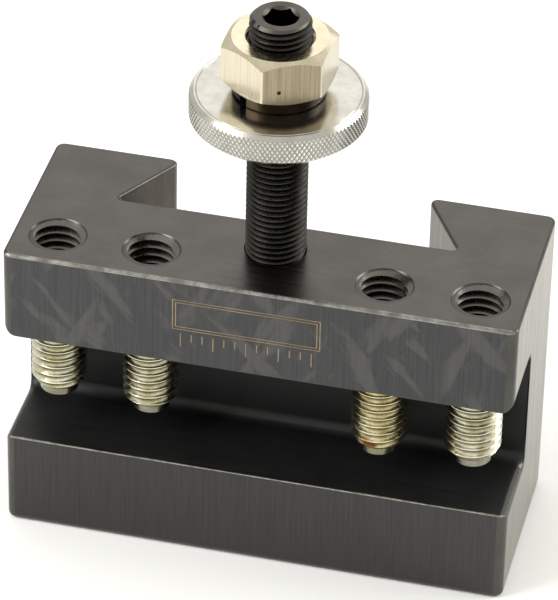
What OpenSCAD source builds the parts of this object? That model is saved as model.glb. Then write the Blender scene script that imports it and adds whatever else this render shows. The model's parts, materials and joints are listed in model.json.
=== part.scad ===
// Turning and facing tool holder for a quick change tool post.
// X runs along the tool, -Y is the tool side, +Y is the dovetail side, +Z is up.
// The origin is the centre of the body's bottom face.

/* [Holder body] */
// Length of the body along the tool
body_length = 101.6; // [92:0.1:125]
// Height of the body, jaws and slot together
body_height = 65.2; // [60:0.1:85]
// Radius along the body's upright corners
corner_radius = 1.8; // [0.6:0.1:3]
// Radius along the body's top edges
top_edge_radius = 0.8; // [0.3:0.1:1.2]
// Radius along the body's bottom edges
bottom_edge_radius = 1.6; // [0.4:0.1:2]
// Rounding of the upper jaw's two lower end corners
upper_jaw_end_radius = 2.8; // [1:0.1:4]
// Rounding of the lower jaw's two upper end corners
lower_jaw_end_radius = 1.5; // [0.5:0.1:3]

/* [Tool slot] */
// Height of the slot's floor above the base
slot_floor = 20.9; // [15:0.1:24]
// Height of the slot, the largest tool it takes
slot_height = 24.8; // [19:0.1:26]
// Depth of the slot from the tool side
slot_depth = 18.7; // [16:0.1:24]
// Fillet in the slot's two inner corners
slot_fillet = 2.4; // [0.5:0.1:4]

/* [Dovetail] */
// Thickness of the web between the slot and the dovetail
web_thickness = 5.2; // [4:0.1:12]
// Depth of the dovetail from the rear face
dovetail_depth = 16.5; // [12:0.1:20]
// Width of the dovetail's mouth between its sharp corners at the rear face
dovetail_mouth = 49.6; // [40:0.1:56]
// Angle between the dovetail's flanks and its floor
dovetail_angle = 60; // [56:1:66]
// Radius of the relief groove in the dovetail's two inner corners
relief_radius = 0.9; // [0.4:0.1:1.4]
// Rounding of the dovetail's two mouth edges
mouth_radius = 1.6; // [0.5:0.1:2.2]

/* [Clamp screws] */
// Thread diameter of the clamp screws
screw_diameter = 11.1; // [9:0.1:13.4]
// Length of a clamp screw
screw_length = 25.4; // [22:0.1:30]
// Diameter of the smooth point that bears on the tool
point_diameter = 7.6; // [5:0.1:8]
// Length of the smooth point
point_length = 1.6; // [0.5:0.1:3]
// Size of a clamp screw's hexagon socket, across its flats
screw_key = 5.6; // [4:0.1:6.4]
// Depth of a clamp screw's hexagon socket
screw_socket_depth = 6.5; // [4:0.1:9]
// Distance from an end of the body to the outer screw's axis
screw_end_distance = 8.9; // [8:0.1:10]
// Spacing of the two screws at each end
screw_spacing = 18.8; // [15.5:0.1:24]
// Distance from the tool side to the row of screws
screw_setback = 8.8; // [8.5:0.1:9.4]
// How far each screw stands out below the upper jaw, from -X to +X
screw_reach = [16.7, 17.5, 18.8, 18.0]; // [6:0.1:18.8]

/* [Height stud] */
// Thread diameter of the height stud
stud_diameter = 12; // [10:0.1:14]
// Height of the stud above the body
stud_height = 53; // [48:0.1:70]
// Distance from the tool side to the stud's axis
stud_setback = 15.5; // [15:0.1:16]
// Metal left between the bottom of the stud's hole and the slot
stud_hole_floor = 4; // [2:0.1:6]
// Size of the stud's hexagon socket, across its flats
stud_key = 6; // [4:0.1:7]
// Depth of the stud's hexagon socket
stud_socket_depth = 8; // [4:0.1:12]
// Turn of the stud, from a corner of its socket on +X
stud_turn = 13; // [-30:1:30]

/* [Height nuts] */
// Height of the knurled nut's underside above the body
nut_lift = 30.5; // [3:0.1:31]
// Diameter of the knurled nut
knurled_diameter = 34.5; // [28:0.1:42]
// Thickness of the knurled nut
knurled_thickness = 6.2; // [4:0.1:7]
// Bevel on the knurled nut's upper and lower rims
knurled_bevel = 0.7; // [0.2:0.1:1.2]
// Outside diameter of the split lock washer
washer_diameter = 18.1; // [17:0.1:21]
// Thickness of the split lock washer
washer_thickness = 2.9; // [1.5:0.1:3.2]
// Width of the split in the lock washer
washer_gap = 1.6; // [0.8:0.1:3]
// Direction of the split around the stud, from +X
washer_gap_angle = -126; // [-180:1:180]
// Size of the hexagon lock nut, across its flats
hex_width = 20; // [18:0.1:24]
// Height of the hexagon lock nut
hex_height = 9.1; // [6:0.1:10]
// Turn of the hexagon lock nut, from a corner on +X
hex_turn = 26; // [-30:1:30]

/* [Fits] */
// Radial clearance between a thread and the hole it turns in
thread_clearance = 0.05; // [0.02:0.01:0.09]
// Radial clearance between the stud and the thread that holds it fast
stud_seat_clearance = 0.02; // [0.01:0.01:0.05]
// Radial clearance of the lock washer around the stud
washer_clearance = 0.35; // [0.3:0.05:0.6]

/* [Hidden] */
$fn = 96;
// How far a cutting shape runs past the faces that it cuts
cut_margin = 2;
// Chamfer where a screw's or the stud's thread ends
thread_chamfer = 0.8;
// Chamfer at both mouths of the knurled nut's bore
hole_chamfer = 0.5;
// Chamfer at the mouth of each hole in the body's top
tapped_hole_chamfer = 0.15;

body_depth = slot_depth + web_thickness + dovetail_depth;
front_y = -body_depth / 2;
back_y = body_depth / 2;
slot_back_y = front_y + slot_depth;
dovetail_floor_y = back_y - dovetail_depth;
dovetail_flank = dovetail_depth / tan(dovetail_angle);
slot_ceiling = slot_floor + slot_height;

screw_radius = screw_diameter / 2;
screw_row_y = front_y + screw_setback;
outer_screw_x = body_length / 2 - screw_end_distance;
inner_screw_x = outer_screw_x - screw_spacing;
screw_xs = [-outer_screw_x, -inner_screw_x, inner_screw_x, outer_screw_x];

stud_radius = stud_diameter / 2;
stud_y = front_y + stud_setback;
stud_bottom = slot_ceiling + stud_hole_floor;
stud_top = body_height + stud_height;
stud_bore_radius = stud_radius + thread_clearance;

knurled_z = body_height + nut_lift;
washer_z = knurled_z + knurled_thickness;
hex_z = washer_z + washer_thickness;
// Radius of the hexagon nut's corners, and of the circle that its chamfer leaves
hex_corner_radius = hex_width / 2 / cos(30);
hex_crown_radius = hex_width / 2 * 0.96;

BLACK_OXIDE = [0.17, 0.16, 0.16];
STUD_BLACK = [0.12, 0.12, 0.13];
ZINC = [0.74, 0.70, 0.56];
BRIGHT_NICKEL = [0.83, 0.83, 0.82];
WARM_NICKEL = [0.79, 0.72, 0.61];
DARK_SPRING_STEEL = [0.20, 0.16, 0.13];

// A rectangle from corner a to corner b, its corners rounded by low at a's side and by high at b's.
module rounded_rectangle(a, b, low, high) {
    translate([a.x + low, a.y]) square([b.x - a.x - 2 * low, low]);
    translate([a.x, a.y + low]) square([b.x - a.x, b.y - a.y - low - high]);
    translate([a.x + high, b.y - high]) square([b.x - a.x - 2 * high, high]);
    for (x = [a.x + low, b.x - low]) translate([x, a.y + low]) circle(low);
    for (x = [a.x + high, b.x - high]) translate([x, b.y - high]) circle(high);
}

// An extrusion along X of a shape drawn in the YZ plane, centred on X = 0.
module extrude_along_x(length) {
    translate([-length / 2, 0, 0]) rotate([90, 0, 90]) linear_extrude(length) children();
}

// An extrusion along Y of a shape drawn in the XZ plane, from y0 to y1.
module extrude_along_y(y0, y1) {
    translate([0, y1, 0]) rotate([90, 0, 0]) linear_extrude(y1 - y0) children();
}

// The block before it is cut, with rounded corners and edges.
module outer_block() {
    intersection() {
        linear_extrude(body_height)
            rounded_rectangle([-body_length / 2, front_y], [body_length / 2, back_y],
                              corner_radius, corner_radius);
        extrude_along_y(front_y, back_y)
            rounded_rectangle([-body_length / 2, 0], [body_length / 2, body_height],
                              bottom_edge_radius, top_edge_radius);
        extrude_along_x(body_length)
            rounded_rectangle([front_y, 0], [back_y, body_height], bottom_edge_radius, top_edge_radius);
    }
}

// The slot that takes the tool, open to the tool side and at both ends.
module tool_slot() {
    extrude_along_x(body_length + 2 * cut_margin)
        rounded_rectangle([front_y - 2 * slot_fillet - cut_margin, slot_floor],
                          [slot_back_y, slot_ceiling], slot_fillet, slot_fillet);
}

// The corner that rounding takes off one end of a jaw at height z; the jaw's metal lies in
// the direction metal, 1 for up and -1 for down.
module jaw_end_cut(side, z, metal, radius) {
    extrude_along_y(front_y - cut_margin, slot_back_y) difference() {
        translate([side * body_length / 2, z]) square(2 * radius, center = true);
        translate([side * (body_length / 2 - radius), z + metal * radius]) circle(radius);
    }
}

// The dovetail that hangs on the tool post, with relieved corners and rounded mouth edges.
module dovetail_cut() {
    half = dovetail_mouth / 2;
    flank_run = cut_margin / tan(dovetail_angle);
    translate([0, 0, -cut_margin]) linear_extrude(body_height + 2 * cut_margin) {
        polygon([
            [-half - dovetail_flank, dovetail_floor_y], [half + dovetail_flank, dovetail_floor_y],
            [half - flank_run, back_y + cut_margin], [-half + flank_run, back_y + cut_margin]
        ]);
        for (side = [-1, 1]) {
            translate([side * (half + dovetail_flank - relief_radius), dovetail_floor_y])
                circle(relief_radius);
            translate([side * half, back_y]) scale([side, -1]) mouth_rounding();
        }
    }
}

// What rounding takes off a mouth edge at the origin, whose metal lies between +X and the
// flank at dovetail_angle to it.
module mouth_rounding() {
    reach = mouth_radius / tan(dovetail_angle / 2);
    flank = [cos(dovetail_angle), sin(dovetail_angle)];
    outward = [-flank.y, flank.x];
    difference() {
        polygon([
            [reach, -mouth_radius], [reach, mouth_radius], reach * flank,
            reach * flank + mouth_radius * outward, [-mouth_radius, -mouth_radius]
        ]);
        translate([reach, mouth_radius]) circle(mouth_radius);
    }
}

// A tapped hole from z0 up through the top face, with a chamfered mouth.
module tapped_hole(radius, z0) {
    translate([0, 0, z0]) cylinder(h = body_height - z0 + cut_margin, r = radius);
    translate([0, 0, body_height - tapped_hole_chamfer])
        cylinder(h = 2 * tapped_hole_chamfer, r1 = radius, r2 = radius + 2 * tapped_hole_chamfer);
}

// A hexagon socket sunk from height z.
module hexagon_socket(key, depth, z) {
    translate([0, 0, z - depth]) cylinder(h = depth + cut_margin, r = key / 2 / cos(30), $fn = 6);
}

module holder_body() {
    color(BLACK_OXIDE) difference() {
        outer_block();
        tool_slot();
        for (side = [-1, 1]) {
            jaw_end_cut(side, slot_ceiling, 1, upper_jaw_end_radius);
            jaw_end_cut(side, slot_floor, -1, lower_jaw_end_radius);
        }
        dovetail_cut();
        for (x = screw_xs) translate([x, screw_row_y, 0])
            tapped_hole(screw_radius + thread_clearance, slot_ceiling - cut_margin);
        translate([0, stud_y, 0]) tapped_hole(stud_radius + stud_seat_clearance, stud_bottom);
    }
}

// A socket set screw whose smooth point stands screw_reach below the upper jaw.
module clamp_screw(index) {
    taper = screw_radius - point_diameter / 2;
    translate([screw_xs[index], screw_row_y, slot_ceiling - screw_reach[index]])
        color(ZINC) difference() {
            union() {
                cylinder(h = point_length, d = point_diameter);
                translate([0, 0, point_length])
                    cylinder(h = taper, d1 = point_diameter, d2 = screw_diameter);
                translate([0, 0, point_length + taper])
                    cylinder(h = screw_length - point_length - taper - thread_chamfer, r = screw_radius);
                translate([0, 0, screw_length - thread_chamfer])
                    cylinder(h = thread_chamfer, r1 = screw_radius, r2 = screw_radius - thread_chamfer);
            }
            hexagon_socket(screw_key, screw_socket_depth, screw_length);
        }
}

module height_stud() {
    translate([0, stud_y, stud_bottom]) rotate(stud_turn) color(STUD_BLACK) difference() {
        union() {
            cylinder(h = thread_chamfer, r1 = stud_radius - thread_chamfer, r2 = stud_radius);
            translate([0, 0, thread_chamfer])
                cylinder(h = stud_top - stud_bottom - 2 * thread_chamfer, r = stud_radius);
            translate([0, 0, stud_top - stud_bottom - thread_chamfer])
                cylinder(h = thread_chamfer, r1 = stud_radius, r2 = stud_radius - thread_chamfer);
        }
        hexagon_socket(stud_key, stud_socket_depth, stud_top - stud_bottom);
    }
}

// The thumb nut that sets the height; its underside rests on the tool post.
module knurled_nut() {
    outer = knurled_diameter / 2;
    inner = stud_bore_radius;
    translate([0, stud_y, knurled_z]) color(BRIGHT_NICKEL) rotate_extrude() polygon([
        [inner, hole_chamfer], [inner + hole_chamfer, 0],
        [outer - knurled_bevel, 0], [outer, knurled_bevel],
        [outer, knurled_thickness - knurled_bevel], [outer - knurled_bevel, knurled_thickness],
        [inner + hole_chamfer, knurled_thickness], [inner, knurled_thickness - hole_chamfer]
    ]);
}

// A helical lock washer, drawn flat, with its slanting split.
module lock_washer() {
    translate([0, stud_y, washer_z]) rotate(washer_gap_angle) color(DARK_SPRING_STEEL) difference() {
        cylinder(h = washer_thickness, d = washer_diameter);
        translate([0, 0, -cut_margin])
            cylinder(h = washer_thickness + 2 * cut_margin, r = stud_radius + washer_clearance);
        translate([0, 0, washer_thickness / 2]) rotate([30, 0, 0])
            translate([0, -washer_gap / 2, -washer_thickness * 2])
                cube([washer_diameter, washer_gap, washer_thickness * 4]);
    }
}

// The chamfered outline that trims a hexagon nut's corners at both ends.
module hexagon_crown() {
    drop = (hex_corner_radius - hex_crown_radius) * tan(30);
    rotate_extrude() polygon([
        [0, 0], [hex_crown_radius, 0], [hex_corner_radius, drop],
        [hex_corner_radius, hex_height - drop], [hex_crown_radius, hex_height], [0, hex_height]
    ]);
}

module hex_lock_nut() {
    countersink = thread_chamfer;
    translate([0, stud_y, hex_z]) rotate(hex_turn) color(WARM_NICKEL) difference() {
        intersection() {
            cylinder(h = hex_height, r = hex_corner_radius, $fn = 6);
            hexagon_crown();
        }
        translate([0, 0, -cut_margin]) cylinder(h = hex_height + 2 * cut_margin, r = stud_bore_radius);
        translate([0, 0, hex_height - countersink])
            cylinder(h = 2 * countersink, r1 = stud_bore_radius, r2 = stud_bore_radius + 2 * countersink);
        translate([0, 0, -countersink])
            cylinder(h = 2 * countersink, r1 = stud_bore_radius + 2 * countersink, r2 = stud_bore_radius);
    }
}

holder_body();
for (i = [0:3])
    clamp_screw(i);
height_stud();
knurled_nut();
lock_washer();
hex_lock_nut();
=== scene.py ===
"""Visual model of a turning and facing tool holder for a quick change tool post.

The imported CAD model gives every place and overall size. The pieces here add what the solids
leave out: cut threads, the diamond knurl, the sprung washer, broken edges and real finishes.
"""

import json
import logging
import math
from dataclasses import dataclass, field, replace
from enum import Enum, IntEnum
from typing import Callable, ClassVar, Optional, Sequence

import bmesh
import bpy
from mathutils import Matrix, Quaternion, Vector


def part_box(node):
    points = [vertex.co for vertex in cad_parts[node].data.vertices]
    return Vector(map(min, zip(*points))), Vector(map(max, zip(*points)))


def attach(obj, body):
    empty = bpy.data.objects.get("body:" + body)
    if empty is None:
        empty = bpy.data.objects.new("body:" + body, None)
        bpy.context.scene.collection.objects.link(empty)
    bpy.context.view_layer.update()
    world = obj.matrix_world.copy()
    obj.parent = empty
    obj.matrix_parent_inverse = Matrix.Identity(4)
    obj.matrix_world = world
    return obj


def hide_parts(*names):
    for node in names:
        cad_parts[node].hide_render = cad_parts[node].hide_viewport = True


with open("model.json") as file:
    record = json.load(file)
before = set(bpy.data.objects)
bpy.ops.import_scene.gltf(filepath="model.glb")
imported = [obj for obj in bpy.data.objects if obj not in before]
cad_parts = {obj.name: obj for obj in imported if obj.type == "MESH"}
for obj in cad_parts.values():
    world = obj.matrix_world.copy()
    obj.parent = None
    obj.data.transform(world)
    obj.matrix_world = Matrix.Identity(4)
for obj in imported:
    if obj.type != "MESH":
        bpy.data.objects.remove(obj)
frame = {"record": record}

LOG = logging.getLogger("tool_holder")
MM = 0.001
# Points nearer than this are one point: when a mesh is cut, when the finished holder is welded,
# when any other mesh is welded, and when points are looked up by their place.
SNAP = 1e-7
FINE_WELD = 2e-7
WELD = 1e-6
NEAR = 1e-5
# How far a cutting shape runs past what it cuts.
SPARE = 1 * MM
# Gap round the stud in the holder, and between the stud and its nuts' bores.
STUD_GAP = 0.02 * MM
BORE_GAP = 0.05 * MM
IMAGE_HEIGHT_PX = 600
SENSOR_MM = 36.0
Point = tuple[float, float]
Socket = bpy.types.NodeSocket
SCREW_NODES = ("clamp_screw_1", "clamp_screw_2", "clamp_screw_3", "clamp_screw_4")
HOLE_NODES = SCREW_NODES + ("height_stud",)


# ---------------------------------------------------------------- places and directions


def upright(direction: Vector) -> bool:
    """Tells whether a direction runs up or down.

    Args:
        direction: A direction of length 1.

    Returns:
        True if it is within about 25 degrees of the vertical.
    """
    return abs(direction.z) > 0.9


def box(node: str) -> tuple[Vector, Vector]:
    """Returns a CAD node's lowest and highest corners in metres.

    Args:
        node: Name of the node.

    Returns:
        The two corners as vectors.
    """
    low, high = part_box(node)
    return Vector(low), Vector(high)


def hexagon_corner(key: float) -> float:
    """Returns how far a hexagon's corners lie from its centre.

    Args:
        key: Distance between two opposite flats.

    Returns:
        The corner's distance.
    """
    return key / 2 / math.cos(math.pi / 6)


def axis_of(node: str) -> Vector:
    """Returns the centre of a CAD node's box, with its height set to zero.

    Args:
        node: Name of a node that is round about a vertical axis.

    Returns:
        A point on that axis at the height of the base.
    """
    low, high = box(node)
    centre = (low + high) / 2
    return Vector((centre.x, centre.y, 0.0))


def mount(name: str) -> Vector:
    """Returns a mount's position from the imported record.

    Args:
        name: Name of the mount.

    Returns:
        The position in metres.
    """
    for entry in frame["record"]["mounts"]:
        if entry["name"] == name:
            return Vector(entry["pos_m"])
    raise KeyError(name)


# ---------------------------------------------------------------- modelling


class Solve(Enum):
    """What a Boolean modifier does with the second shape."""

    CUT = "DIFFERENCE"
    KEEP = "INTERSECT"


def deselect_all() -> None:
    """Leaves edit mode and clears the selection."""
    if bpy.context.object and bpy.context.object.mode != "OBJECT":
        bpy.ops.object.mode_set(mode="OBJECT")
    bpy.ops.object.select_all(action="DESELECT")


def select_only(piece: bpy.types.Object) -> None:
    """Makes one object the whole selection and the active one.

    Args:
        piece: The object to select.
    """
    deselect_all()
    piece.select_set(True)
    bpy.context.view_layer.objects.active = piece


def settle(piece: bpy.types.Object) -> None:
    """Moves an object's place, turn and scale into its mesh.

    Args:
        piece: The object to settle at the origin.
    """
    select_only(piece)
    bpy.ops.object.transform_apply(location=True, rotation=True, scale=True)


def remove(piece: bpy.types.Object) -> None:
    """Deletes an object and its mesh.

    Args:
        piece: The object that is no longer needed.
    """
    mesh = piece.data
    bpy.data.objects.remove(piece)
    bpy.data.meshes.remove(mesh)


def add_block(name: str, low: Vector, high: Vector) -> bpy.types.Object:
    """Adds a rectangular block between two corners.

    Args:
        name: Name of the new object.
        low: Lowest corner.
        high: Highest corner.

    Returns:
        The new object, settled at the origin.
    """
    deselect_all()
    bpy.ops.mesh.primitive_cube_add(size=1, location=(low + high) / 2, scale=high - low)
    piece = bpy.context.object
    piece.name = name
    settle(piece)
    return piece


def add_prism(name: str, centre: Vector, radius: float, z0: float, z1: float,
              sides: int, turn: float = 0.0) -> bpy.types.Object:
    """Adds an upright prism or cylinder.

    Args:
        name: Name of the new object.
        centre: A point on its axis.
        radius: Distance from the axis to a corner.
        z0: Height of the lower end.
        z1: Height of the upper end.
        sides: How many sides it has.
        turn: Direction of the first corner from +X, in radians.

    Returns:
        The new object, settled at the origin.
    """
    deselect_all()
    bpy.ops.mesh.primitive_cylinder_add(
        vertices=sides, radius=radius, depth=z1 - z0,
        location=(centre.x, centre.y, (z0 + z1) / 2), rotation=(0, 0, turn - math.pi / 2))
    piece = bpy.context.object
    piece.name = name
    settle(piece)
    return piece


def pick(piece: bpy.types.Object, kind: str, test: Callable[[Vector, Vector], bool]) -> int:
    """Selects vertices, edges or faces by place, in edit mode.

    Args:
        piece: The object in edit mode.
        kind: "verts", "edges" or "faces".
        test: Called with an element's centre and its normal, or an edge's direction.

    Returns:
        How many elements were selected.
    """
    modes = {"verts": "VERT", "edges": "EDGE", "faces": "FACE"}
    bpy.ops.mesh.select_mode(type=modes[kind])
    bpy.ops.mesh.select_all(action="DESELECT")
    shape = bmesh.from_edit_mesh(piece.data)
    count = 0
    for element in getattr(shape, kind):
        if kind == "verts":
            place, facing = element.co, element.normal
        elif kind == "edges":
            first, second = (v.co for v in element.verts)
            place, facing = (first + second) / 2, (second - first).normalized()
        else:
            place, facing = element.calc_center_median(), element.normal
        if test(place, facing):
            element.select_set(True)
            count += 1
    shape.select_flush_mode()
    bmesh.update_edit_mesh(piece.data)
    return count


def bevel_edges(piece: bpy.types.Object, test: Callable[[Vector, Vector], bool],
                width: float, segments: int) -> None:
    """Rounds the edges that a test picks.

    Args:
        piece: The object to work on.
        test: Called with an edge's middle and its direction.
        width: Offset of the rounding from the sharp edge.
        segments: How many faces the rounding has.
    """
    select_only(piece)
    bpy.ops.object.mode_set(mode="EDIT")
    if pick(piece, "edges", test):
        bpy.ops.mesh.bevel(offset=width, segments=segments, affect="EDGES", clamp_overlap=False)
    bpy.ops.object.mode_set(mode="OBJECT")


def copy_of(piece: bpy.types.Object, name: str, shift: Vector,
            axis: Optional[Vector] = None, turn: float = 0.0) -> bpy.types.Object:
    """Copies a piece with a mesh of its own, turned about an upright axis and then moved.

    Args:
        piece: The piece to copy, settled at the origin.
        name: Name of the copy.
        shift: How far the copy is moved.
        axis: A point on the axis that it turns about, or None for no turn.
        turn: Angle that it turns by, in radians.

    Returns:
        The copy, settled at the origin.
    """
    select_only(piece)
    bpy.ops.object.duplicate(linked=False)
    twin = bpy.context.object
    twin.name = name
    pivot = axis or Vector()
    twin.rotation_euler = (0, 0, turn)
    twin.location = pivot + shift - Quaternion((0, 0, 1), turn) @ pivot
    settle(twin)
    return twin


def gather(pieces: Sequence[bpy.types.Object]) -> bpy.types.Object:
    """Joins separate closed shapes into one object, to cut as one tool.

    Args:
        pieces: The shapes, which don't touch each other.

    Returns:
        The first of them, with the others in it.
    """
    select_only(pieces[0])
    for extra in pieces[1:]:
        extra.select_set(True)
    bpy.ops.object.join()
    return pieces[0]


def solve(target: bpy.types.Object, tool: bpy.types.Object, how: Solve) -> None:
    """Combines two closed shapes with an applied Boolean modifier, and deletes the second.

    Args:
        target: The shape that changes.
        tool: The shape that it is combined with.
        how: Cut, or keep the common part.
    """
    select_only(target)
    modifier = target.modifiers.new("combine", "BOOLEAN")
    modifier.operation = how.value
    modifier.solver = "EXACT"
    modifier.object = tool
    bpy.ops.object.modifier_apply(modifier=modifier.name)
    remove(tool)


def revolve(name: str, outline: Sequence[Point], centre: Vector, steps: int,
            pitch: float = 0.0, turns: int = 1, base: float = 0.0) -> bpy.types.Object:
    """Turns an outline about an upright axis, climbing by pitch each turn.

    Args:
        name: Name of the new object.
        outline: Points as (radius, height), drawn one after another.
        centre: A point on the axis.
        steps: Faces in a full turn.
        pitch: Climb per turn, or 0 for a plain turned shape.
        turns: How many turns to make.
        base: Height that the outline's zero stands at.

    Returns:
        The new object, settled at the origin.
    """
    deselect_all()
    bpy.ops.mesh.primitive_plane_add(size=MM)
    piece = bpy.context.object
    piece.name = name
    bpy.ops.object.mode_set(mode="EDIT")
    bpy.ops.mesh.select_mode(type="VERT")
    bpy.ops.mesh.select_all(action="SELECT")
    bpy.ops.mesh.merge(type="CENTER")
    radius, height = outline[0]
    bpy.ops.transform.translate(value=(radius, 0, height))
    for (r0, z0), (r1, z1) in zip(outline, outline[1:]):
        bpy.ops.mesh.extrude_region_move(
            TRANSFORM_OT_translate={"value": (r1 - r0, 0, z1 - z0)})
    bpy.ops.object.mode_set(mode="OBJECT")
    modifier = piece.modifiers.new("turn", "SCREW")
    modifier.angle = 2 * math.pi
    modifier.steps = modifier.render_steps = steps
    modifier.screw_offset = pitch
    modifier.iterations = turns
    bpy.ops.object.modifier_apply(modifier=modifier.name)
    weld(piece)
    piece.location = (centre.x, centre.y, base)
    settle(piece)
    return piece


def weld(piece: bpy.types.Object, gap: float = WELD) -> None:
    """Merges doubled points and turns every face outwards.

    Args:
        piece: The object to clean.
        gap: Points nearer than this become one.
    """
    select_only(piece)
    bpy.ops.object.mode_set(mode="EDIT")
    bpy.ops.mesh.select_all(action="SELECT")
    bpy.ops.mesh.remove_doubles(threshold=gap)
    bpy.ops.mesh.dissolve_degenerate(threshold=gap)
    bpy.ops.mesh.normals_make_consistent(inside=False)
    bpy.ops.object.mode_set(mode="OBJECT")


def trim(piece: bpy.types.Object, height: float, keep_above: bool) -> None:
    """Cuts a shape level at a height and closes the cut.

    Args:
        piece: The object to trim.
        height: Height of the cut.
        keep_above: Whether the part above the cut stays, or the part below.
    """
    select_only(piece)
    bpy.ops.object.mode_set(mode="EDIT")
    bpy.ops.mesh.select_all(action="SELECT")
    bpy.ops.mesh.bisect(plane_co=(0, 0, height), plane_no=(0, 0, 1), use_fill=True,
                        clear_inner=keep_above, clear_outer=not keep_above,
                        threshold=SNAP)
    bpy.ops.object.mode_set(mode="OBJECT")


def smooth(piece: bpy.types.Object, degrees: float) -> None:
    """Shades a piece smooth, except across edges sharper than an angle.

    The large faces then set the normals along their edges, so that they stay flat to the eye
    and only the narrow roundings between them are shaded round.

    Args:
        piece: The object to shade.
        degrees: Edges that turn more than this stay sharp.
    """
    select_only(piece)
    bpy.ops.object.shade_smooth_by_angle(angle=math.radians(degrees))
    modifier = piece.modifiers.new("flat_faces", "WEIGHTED_NORMAL")
    modifier.mode = "FACE_AREA"
    modifier.keep_sharp = True
    bpy.ops.object.modifier_apply(modifier=modifier.name)


def mark_depth(piece: bpy.types.Object, centre: Vector, root: float, crest: float) -> None:
    """Stores how deep each point lies in a thread or knurl, from 0 at its crest to 1 at its root.

    Args:
        piece: The object to mark.
        centre: A point on the thread's axis.
        root: Radius of the root.
        crest: Radius of the crest.
    """
    attribute = piece.data.attributes.new("depth", "FLOAT", "POINT")
    for vertex, value in zip(piece.data.vertices, attribute.data):
        radius = math.hypot(vertex.co.x - centre.x, vertex.co.y - centre.y)
        value.value = min(1.0, max(0.0, (crest - radius) / (crest - root)))


@dataclass(frozen=True)
class Thread:
    """A right-handed V thread, in metres.

    Every thread starts at the same angle and counts its height from the base, so a screw and
    the hole on its axis are in step. The crest's and the root's shares are of the pitch, the
    flank's end is a share of the flank, the crest's flat is a share of the crest, and its drop
    at the shoulders is a share of the depth.
    """

    crest: float
    pitch: float
    depth: float
    steps: int = 48
    crest_share: float = 0.16
    root_share: float = 0.14
    flank_end: float = 0.9
    crest_flat: float = 0.5
    crest_drop: float = 0.16

    @property
    def root(self) -> float:
        """Radius at the bottom of the groove."""
        return self.crest - self.depth

    def grown(self, clearance: float) -> "Thread":
        """Returns the same thread with every radius larger by a clearance.

        Args:
            clearance: What is added to both radii.

        Returns:
            The larger thread.
        """
        return replace(self, crest=self.crest + clearance)

    def rod(self, name: str, centre: Vector, z0: float, z1: float) -> bpy.types.Object:
        """Makes a closed threaded rod with level ends.

        Args:
            name: Name of the new object.
            centre: A point on its axis.
            z0: Height of the lower end.
            z1: Height of the upper end.

        Returns:
            The rod.
        """
        flank = (1 - self.crest_share - self.root_share) / 2
        shoulder = self.crest - self.depth * self.crest_drop
        crest_start = self.root_share + flank
        places = [0.0, self.root_share, self.root_share + flank * self.flank_end,
                  crest_start + self.crest_share * (1 - self.crest_flat) / 2,
                  crest_start + self.crest_share * (1 + self.crest_flat) / 2,
                  1 - flank * self.flank_end, 1.0]
        radii = [self.root, self.root, shoulder, self.crest, self.crest, shoulder, self.root]
        first = math.floor(z0 / self.pitch) - 1
        turns = math.ceil(z1 / self.pitch) + 1 - first
        outline = [(r, p * self.pitch) for r, p in zip(radii, places)]
        piece = revolve(name, outline, centre, self.steps, self.pitch, turns, first * self.pitch)
        trim(piece, z0, keep_above=True)
        trim(piece, z1, keep_above=False)
        weld(piece)
        return piece


# ---------------------------------------------------------------- finishes


def linear(hex_colour: str) -> tuple[float, float, float, float]:
    """Turns an sRGB hex colour into linear red, green, blue and alpha.

    Args:
        hex_colour: A colour such as "8c8a84".

    Returns:
        The linear colour, fully opaque.
    """
    channels = [int(hex_colour[i:i + 2], 16) / 255 for i in (0, 2, 4)]
    red, green, blue = (
        c / 12.92 if c <= 0.04045 else ((c + 0.055) / 1.055) ** 2.4 for c in channels)
    return red, green, blue, 1.0


def add_node(tree: bpy.types.NodeTree, kind: str, inputs: Optional[dict] = None,
             **settings: object) -> bpy.types.Node:
    """Adds a node to a tree, with its settings, values and links.

    Args:
        tree: The material's node tree.
        kind: The node's type name.
        inputs: Input name or number to a value, or to the output socket that feeds it.
        **settings: The node's own settings.

    Returns:
        The new node.
    """
    node = tree.nodes.new(kind)
    for name, value in settings.items():
        setattr(node, name, value)
    for key, value in (inputs or {}).items():
        if isinstance(value, bpy.types.NodeSocket):
            tree.links.new(value, node.inputs[key])
        else:
            node.inputs[key].default_value = value
    return node


class Grain(Enum):
    """The way that grinding or drawing lines run, as a stretch of the pattern in X, Y and Z."""

    ALONG_X = (0.02, 1.0, 1.0)
    UPRIGHT = (1.0, 1.0, 0.02)
    NONE = (1.0, 1.0, 1.0)


def new_material(name: str) -> tuple[bpy.types.Material, bpy.types.NodeTree]:
    """Makes an empty node material.

    Args:
        name: Name of the material.

    Returns:
        The material and its node tree, with no nodes in it.
    """
    material = bpy.data.materials.new(name)
    material.use_nodes = True
    material.node_tree.nodes.clear()
    return material, material.node_tree


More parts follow.
